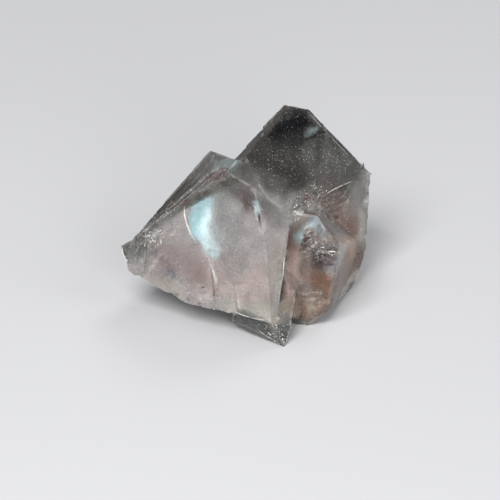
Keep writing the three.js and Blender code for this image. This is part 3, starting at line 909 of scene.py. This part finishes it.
def flat_tube(start, middle, end, width, thickness, outward, power=0.6, soft=(0, 0)):
    """Corners, blocks of faces and fade of a flattened tube. Its middle line is the parabola
    through the three points. At the share t of its length the section is an ellipse, width *
    sin(pi t) ** power wide across the outward direction and thickness * the same deep along
    it. Each side can fade out towards its edge, by the two amounts in soft."""
    start, middle, end = (np.array(spot, dtype=float) for spot in (start, middle, end))
    bend = 2 * middle - (start + end) / 2
    share = np.linspace(0, 1, ALONG)[:, None]
    line = (1 - share) ** 2 * start + 2 * share * (1 - share) * bend + share**2 * end
    along = 2 * (1 - share) * (bend - start) + 2 * share * (end - bend)
    across = np.cross(along, outward)
    across /= np.linalg.norm(across, axis=1)[:, None]
    swell = np.sin(math.pi * np.clip(share, 0.001, 0.999)) ** power
    turn = np.linspace(0, 2 * math.pi, AROUND, endpoint=False)[None, :, None]
    ring = across[:, None] * (width / 2) * np.cos(turn) + np.array(outward) * (thickness / 2) * np.sin(turn)
    corners = (line[:, None] + swell[:, None] * ring).reshape(-1, 3)
    side = np.cos(turn[0, :, 0])
    edge = 1 - soft[0] * np.clip(side, 0, 1) ** 1.5 - soft[1] * np.clip(-side, 0, 1) ** 1.5
    return corners, tube_faces(), (swell * edge[None]).ravel()


def tube_faces():
    """The faces of every tube: four corners between neighbours on two rings, and a cap at each
    end. The corner number is ring * AROUND + place on the ring."""
    row, column = np.meshgrid(np.arange(ALONG - 1), np.arange(AROUND), indexing="ij")
    here, beside = row * AROUND + column, row * AROUND + (column + 1) % AROUND
    quads = np.stack([here, beside, beside + AROUND, here + AROUND], axis=-1).reshape(-1, 4)
    first_ring = np.arange(AROUND)
    caps = np.stack([first_ring[::-1], first_ring + (ALONG - 1) * AROUND])
    return [quads, caps]


print("a tube has", sum(len(block) for block in tube_faces()), "faces")

# %% Join parts into one piece


def join_parts(name, parts, material):
    """One object from several parts, each with corners, blocks of faces and a fade value for
    every corner. A part's corner numbers are raised by the corners before it."""
    faces, count = [], 0
    for corners, blocks, _ in parts:
        for block in blocks:
            faces += (block + count).tolist()
        count += len(corners)
    mesh = bpy.data.meshes.new(name)
    mesh.from_pydata(np.concatenate([part[0] for part in parts]) * MM, [], faces)
    grid = bmesh.new()
    grid.from_mesh(mesh)
    bmesh.ops.recalc_face_normals(grid, faces=grid.faces)
    grid.to_mesh(mesh)
    grid.free()
    write_attribute(mesh, "fade", np.concatenate([part[2] for part in parts]))
    mesh.materials.append(material)
    piece = link(bpy.data.objects.new(name, mesh))
    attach(piece, "root")
    print(name, "has", len(faces), "faces")


def flaw_material(name, colour, roughness, passing, solid):
    """The finish of a flaw in the stone. Its alpha is the fade times a cloud that goes from a
    tenth of solid up to solid."""
    material, tree, shader = new_material(name)
    cloud = ramp(tree, noise(tree, object_place(tree), 700, 5.0, 0.65), 0.32, 0.62, 0.1 * solid, solid)
    alpha = maths(tree, "MULTIPLY", stored(tree, "fade"), cloud)
    plain = {"Base Color": (*colour, 1), "Roughness": roughness, "Transmission Weight": passing}
    fill(tree, shader, {**plain, "Alpha": alpha})
    return material


veil_white = flaw_material("veil_white", tone(196, 228, 234), 0.35, 0.2, 0.85)
arc_and_gleam_white = flaw_material("arc_and_gleam_white", tone(240, 236, 226), 0.25, 0.0, 1.0)
print("finishes:", veil_white.name, arc_and_gleam_white.name)

# %% Tubes under a face


def under_face(face, x, z, depth):
    """The point with this x and z that lies at a depth under a face:
    y = (out - depth - nx * x - nz * z) / ny."""
    (nx, ny, nz), out = face
    return (x, (out - depth - nx * x - nz * z) / ny, z)


def sheet_under(face, spots, depth, width, thickness, power=0.6, soft=(0, 0)):
    """A flat tube under a face, through three places given by x and z."""
    spots = [under_face(face, x, z, depth) for x, z in spots]
    return flat_tube(*spots, width, thickness, face[0], power, soft)


print("a place 0.5 mm under the front face:", np.round(under_face(FRONT, -8.2, 18.0, 0.5), 2))

# %% [markdown]
# ## Veils and arcs in their places
#
# The front crystal has one large bluish veil with a bright arc at its left, a small glare in
# the fissure, and fine bright lines on its steps and edges, which are painted highlights where
# those edges gleam. The lump has a veil and a few short arcs between its cracks. The veil is
# two sheets at two depths, so that it looks deep and uneven.

# %% The front crystal's veil and arcs
join_parts("front_veil", [
    sheet_under(FRONT, [(-6.7, 21.4), (-8.2, 18.0), (-4.9, 12.2)], 0.5, 3.4, 0.2, 0.6, (0.9, 0.1)),
    sheet_under(FRONT, [(-7.0, 21.2), (-8.0, 17.4), (-5.6, 13.4)], 0.9, 2.4, 0.2, 0.6, (0.7, 0.4)),
    sheet_under(FRONT, [(0.9, 22.9), (1.4, 21.6), (1.9, 20.2)], 0.3, 0.6, 0.1, 0.8, (0.6, 0.6)),
], veil_white)
join_parts("front_arcs_and_gleams", [
    sheet_under(FRONT, [(-9.8, 19.4), (-9.6, 16.7), (-7.9, 13.7)], 0, 0.24, 0.06),
    sheet_under(FRONT, [(1.1, 22.2), (1.4, 21.5), (1.7, 20.9)], 0, 0.12, 0.05),
    # From here on the tubes lie along edges and ledges: their white is a painted highlight where they
    # gleam.
    sheet_under(RIGHT, [(5.9, 13.4), (5.8, 11.4), (5.6, 9.4)], 0, 0.18, 0.06),
    sheet_under(FRONT, [(-2.6, 4.6), (-0.8, 4.05), (0.6, 4.0)], 0, 0.1, 0.05),
    sheet_under(FRONT, [(0.8, 4.0), (2.2, 4.0), (3.6, 4.2)], 0, 0.1, 0.05),
    sheet_under(SHIN, [(1.3, 1.8), (3.4, 0.9), (5.0, 0.5)], 0, 0.12, 0.06),
    sheet_under(CHEEK, [(12.0, 15.8), (14.6, 15.7), (17.4, 15.2)], 0, 0.12, 0.06),
    flat_tube((-19.9, -3.1, 10.6), (-19.75, -3.5, 9.0), (-18.9, -4.9, 7.4), 0.16, 0.1, (-0.7, -0.7, 0.1)),
], arc_and_gleam_white)

# %% The lump's veil and arcs
LUMP_OUTWARD = (0, -1, 0.5)

join_parts("lump_veil", [
    sheet_under(BROW, [(8.2, 13.2), (9.0, 14.7), (10.6, 15.3)], 0.3, 1.0, 0.15, 0.6, (0.9, 0.9)),
], veil_white)
join_parts("lump_arcs", [
    sheet_under(BROW, [(9.0, 14.4), (9.5, 15.1), (10.4, 15.4)], 0, 0.12, 0.05),
    sheet_under(BROW, [(9.5, 14.1), (9.8, 14.5), (10.4, 14.7)], 0, 0.09, 0.05),
    flat_tube((12.6, -8.6, 11.9), (13.4, -8.75, 12.1), (14.3, -8.7, 11.9), 0.14, 0.08, LUMP_OUTWARD),
    flat_tube((10.6, -8.0, 13.4), (10.9, -8.2, 13.3), (11.3, -8.3, 13.2), 0.09, 0.06, LUMP_OUTWARD),
    flat_tube((11.5, -8.4, 12.6), (12.0, -8.4, 12.6), (12.5, -8.5, 12.5), 0.09, 0.06, LUMP_OUTWARD),
], arc_and_gleam_white)

# %% [markdown]
# ## Edge lines
#
# The thin rims of clear crystals gleam along their length, because light that travels inside
# the stone leaves it there. The chips and the frost give this on broad edges. On the finest
# ones a hairline tube on the edge does it, in stretches, so that the gleam breaks off.

# %% Gleaming rims
EDGE_THICKNESS = 0.06
# Each stretch: its start, middle and end, its width in mm, and the face it lies beside.
EDGE_LINES = [
    ((9.6, 12.7, 26.2), (11.4, 12.6, 24.1), (13.2, 12.5, 22.1), 0.09, SMOKY),
    ((13.3, 12.4, 21.9), (15.0, 12.3, 19.95), (17.6, 12.2, 16.9), 0.09, SMOKY),
    ((5.3, 9.1, 28.1), (4.0, 7.4, 27.5), (2.4, 5.3, 26.65), 0.08, SMOKY),
    ((2.3, 5.1, 26.6), (1.4, 3.9, 26.2), (0.4, 2.6, 25.6), 0.08, SMOKY),
    ((-6.1, 5.8, 21.95), (-7.5, 4.4, 20.9), (-9.1, 2.8, 19.55), 0.09, LEFT_TOP),
    ((-9.2, 2.7, 19.45), (-11.4, 1.1, 17.65), (-13.4, -0.4, 15.95), 0.09, LEFT_TOP),
    ((-5.4, 4.9, 22.45), (-4.0, 1.4, 23.85), (-2.7, -2.1, 25.2), 0.08, LEFT_TOP),
    ((19.4, 11.7, 14.5), (19.25, 10.4, 12.9), (19.1, 9.1, 11.4), 0.1, CHEEK),
    ((19.0, 8.1, 9.7), (18.7, 6.4, 7.9), (18.4, 4.7, 6.1), 0.1, CHEEK),
    ((18.1, 3.4, 4.8), (17.1, 1.3, 3.6), (16.0, -1.2, 2.2), 0.1, CHEEK),
]

edge_grey = flaw_material("edge_grey", tone(176, 178, 175), 0.3, 0.0, 0.8)
join_parts("edge_lines", [
    flat_tube(*places, width, EDGE_THICKNESS, face[0]) for *places, width, face in EDGE_LINES
], edge_grey)

# %% [markdown]
# ## Specks and glints
#
# The smoky crystal is full of tiny flakes and bubbles that flash when they face a light, and
# small dark grains sit in the pits. Broken edges glitter. Points painted by a texture would
# stay flat. Each speck here is a splinter with three sides and a base, turned at random, so it
# catches the light in its own way. The bright splinters are white all over as well, so their
# flash is partly a painted glint. A seeded draw gives the same specks at every run.

# %% Splinters in one mesh
LONG_AXIS = (1.0, 1.0, 2.2)


def splinters(centres, sizes, seed):
    """A small pyramid round each centre. Its four corners are those of a regular one times its
    size, stretched at random along each axis and turned by a random rotation, which is the
    orthogonal part of a random matrix. No corner leaves the stone's box."""
    draw = np.random.default_rng(seed)
    shape = np.array([(1, 1, 1), (1, -1, -1), (-1, 1, -1), (-1, -1, 1)]) / math.sqrt(3)
    axes, _ = np.linalg.qr(draw.normal(size=(len(centres), 3, 3)))
    axes *= np.sign(np.linalg.det(axes))[:, None, None]
    stretch = draw.uniform(0.2, 0.7, (len(centres), 1, 3)) * np.array(LONG_AXIS)
    corners = centres[:, None] + sizes[:, None, None] * ((shape * stretch) @ axes)
    sides = np.array([(0, 1, 2), (0, 3, 1), (0, 2, 3), (1, 3, 2)])
    faces = (sides[None] + 4 * np.arange(len(centres))[:, None, None]).reshape(-1, 3)
    return np.clip(corners.reshape(-1, 3), stone_low, stone_high), [faces], np.ones(4 * len(centres))


# White all over: real flakes and splinters whose white is partly a painted glint.
flake_and_glint_speck = flaw_material("flake_and_glint_speck", tone(236, 236, 230), 0.3, 0.0, 1.0)
grey_speck = flaw_material("grey_speck", tone(150, 150, 145), 0.4, 0.0, 1.0)
dark_speck = flaw_material("dark_speck", tone(18, 15, 13), 0.5, 0.0, 1.0)
print("one splinter has", len(splinters(np.zeros((1, 3)), np.ones(1), 0)[0]), "corners")

# %% Splinters under the smoky face
SMOKY_X = (0.5, 18.5)
SMOKY_Y = (-3.5, 15.5)
OFF_OUTLINE = 0.5
OFF_CREST = 0.4


def scatter_smoky(count, depths, sizes, seed):
    """Splinters under the smoky face, inside its outline. x, y and depth are drawn evenly, and
    z = (out - depth - nx * x - ny * y) / nz. The share that is kept rises from 0.15 at a height
    of 26.5 mm to 1 at 21.5 mm. A size is smallest + (largest - smallest) * u ** 3."""
    draw = np.random.default_rng(seed)
    x = draw.uniform(*SMOKY_X, count)
    y = draw.uniform(*SMOKY_Y, count)
    depth = draw.uniform(*depths, count)
    (nx, ny, nz), out = SMOKY
    z = (out - depth - nx * x - ny * y) / nz
    centres = np.stack([x, y, z], axis=1)
    inside = np.max([above(face, centres) for face in SMOKY_LIMITS], axis=0) < -OFF_OUTLINE
    inside &= above(CREST, centres) > OFF_CREST
    inside &= draw.uniform(0, 1, count) < 0.15 + 0.85 * smooth(26.5, 21.5, z)
    size = sizes[0] + (sizes[1] - sizes[0]) * draw.uniform(0, 1, count) ** 3
    return splinters(centres[inside], size[inside], seed + 1)


join_parts("grey_specks", [scatter_smoky(2600, (-0.03, 0.05), (0.03, 0.12), 31)], grey_speck)
join_parts("flake_and_glint_specks", [scatter_smoky(360, (-0.03, 0.05), (0.04, 0.16), 33)], flake_and_glint_speck)

# %% Splinters anywhere on the surface
DRAWN_FOR_ONE = 8

face_corners = (read_rows(stone_mesh.vertices, "co", 3) / MM)[
    read_rows(stone_mesh.polygons, "vertices", 3, np.int32)
]
face_area = np.linalg.norm(
    np.cross(face_corners[:, 1] - face_corners[:, 0], face_corners[:, 2] - face_corners[:, 0]), axis=1
)


def scatter_on_stone(line, reach, count, sizes, seed):
    """Splinters at random places on the stone's surface, near a line. A face is drawn by its
    area, and a place on it by three shares that add up to one. Places further off than reach
    are dropped. A size is smallest + (largest - smallest) * u ** 2."""
    draw = np.random.default_rng(seed)
    near = np.flatnonzero(line_distance(face_corners.mean(axis=1), line) < reach + 0.5)
    drawn = draw.choice(near, DRAWN_FOR_ONE * count, p=face_area[near] / face_area[near].sum())
    shares = draw.dirichlet((1, 1, 1), len(drawn))
    places = (face_corners[drawn] * shares[:, :, None]).sum(axis=1)
    places = places[line_distance(places, line) < reach][:count]
    size = sizes[0] + (sizes[1] - sizes[0]) * draw.uniform(0, 1, len(places)) ** 2
    return splinters(places, size, seed + 1)


print("surface of the stone:", round(float(face_area.sum()) / 2), "square mm")

# %% Dark grains
STEP_GRAINS = np.array([
    (-7.0, -11.1, 6.9), (-7.0, -11.4, 6.0), (-5.3, -12.2, 6.0),
    (-5.3, -12.4, 5.2), (-4.5, -12.0, 7.7), (-5.6, -12.4, 4.7),
])
BESIDE_GRAINS = (0.3, -0.1, -0.5)
# Each place: the points of a line, reach in mm, count, smallest and largest size in mm, seed.
DARK_PLACES = [
    ([(-5.6, -11.4, 10.8), (-5.0, -13.0, 5.5)], 0.7, 30, (0.06, 0.18), 43),
    ([(-8.0, -10.6, 7.4), (-4.0, -13.2, 5.6)], 1.2, 24, (0.06, 0.16), 45),
    ([(0.5, -14.0, 2.4), (5.5, -16.5, 1.6)], 1.8, 30, (0.08, 0.24), 47),
    ([(6.9, -4.6, 17.4), (10.8, 2.4, 16.8)], 1.6, 50, (0.08, 0.26), 49),
    ([(8.0, -11.0, 4.0), (12.0, -10.6, 6.5)], 2.4, 26, (0.08, 0.22), 71),
]

join_parts("dark_specks", [
    splinters(STEP_GRAINS, np.full(len(STEP_GRAINS), 0.24), 81),
    splinters(STEP_GRAINS + BESIDE_GRAINS, np.full(len(STEP_GRAINS), 0.16), 83),
    scatter_smoky(1300, (-0.02, 0.05), (0.05, 0.15), 41),
    *[scatter_on_stone(*place) for place in DARK_PLACES],
], dark_speck)

# %% Glints on the broken edges
# The rows say the same as those of the dark grains.
GLINT_PLACES = [
    ([(6.9, -4.6, 17.4), (10.8, 2.4, 16.8)], 1.5, 130, (0.06, 0.26), 51),
    ([(12.0, 3.0, 16.2), (17.2, 6.0, 13.8)], 1.3, 80, (0.05, 0.2), 53),
    ([(10.1, -8.3, 12.8), (13.0, -8.3, 12.0)], 1.3, 60, (0.05, 0.2), 55),
    ([(13.1, -8.8, 11.7), (14.7, -7.6, 11.3)], 0.35, 40, (0.08, 0.24), 65),
    ([(13.2, -9.2, 9.4), (14.2, -8.4, 8.4)], 0.8, 26, (0.05, 0.2), 67),
    ([(16.6, 4.8, 9.8), (15.6, 3.2, 10.4)], 1.2, 26, (0.06, 0.22), 69),
    ([(-17.5, -5.0, 8.0), (-6.0, -11.6, 5.4)], 1.3, 160, (0.05, 0.18), 57),
    ([(-18.0, -3.0, 10.5), (-12.0, -6.5, 14.5)], 2.2, 240, (0.06, 0.22), 59),
    ([(-15.8, -5.3, 13.8), (-14.2, -6.1, 13.5), (-15.2, -5.9, 12.3)], 1.3, 200, (0.08, 0.26), 79),
    ([(-16.0, -6.5, 8.0), (-10.0, -9.0, 11.0)], 2.6, 130, (0.04, 0.13), 77),
    ([(-4.5, -5.0, 24.5), (-15.0, -3.8, 14.0)], 2.2, 620, (0.05, 0.17), 61),
    ([(5.2, -13.6, 4.8), (1.5, -14.6, 3.0)], 1.4, 50, (0.06, 0.22), 63),
    ([(3.4, -16.6, 2.6), (6.6, -16.8, 2.0), (5.8, -17.9, 0.5)], 1.2, 90, (0.06, 0.3), 73),
    ([(7.2, -5.4, 16.0), (8.4, -3.0, 16.8)], 0.9, 40, (0.1, 0.34), 75),
]

# The glints: white splinters where broken edges glitter, partly painted glints.
join_parts("glints", [scatter_on_stone(*place) for place in GLINT_PLACES], flake_and_glint_speck)
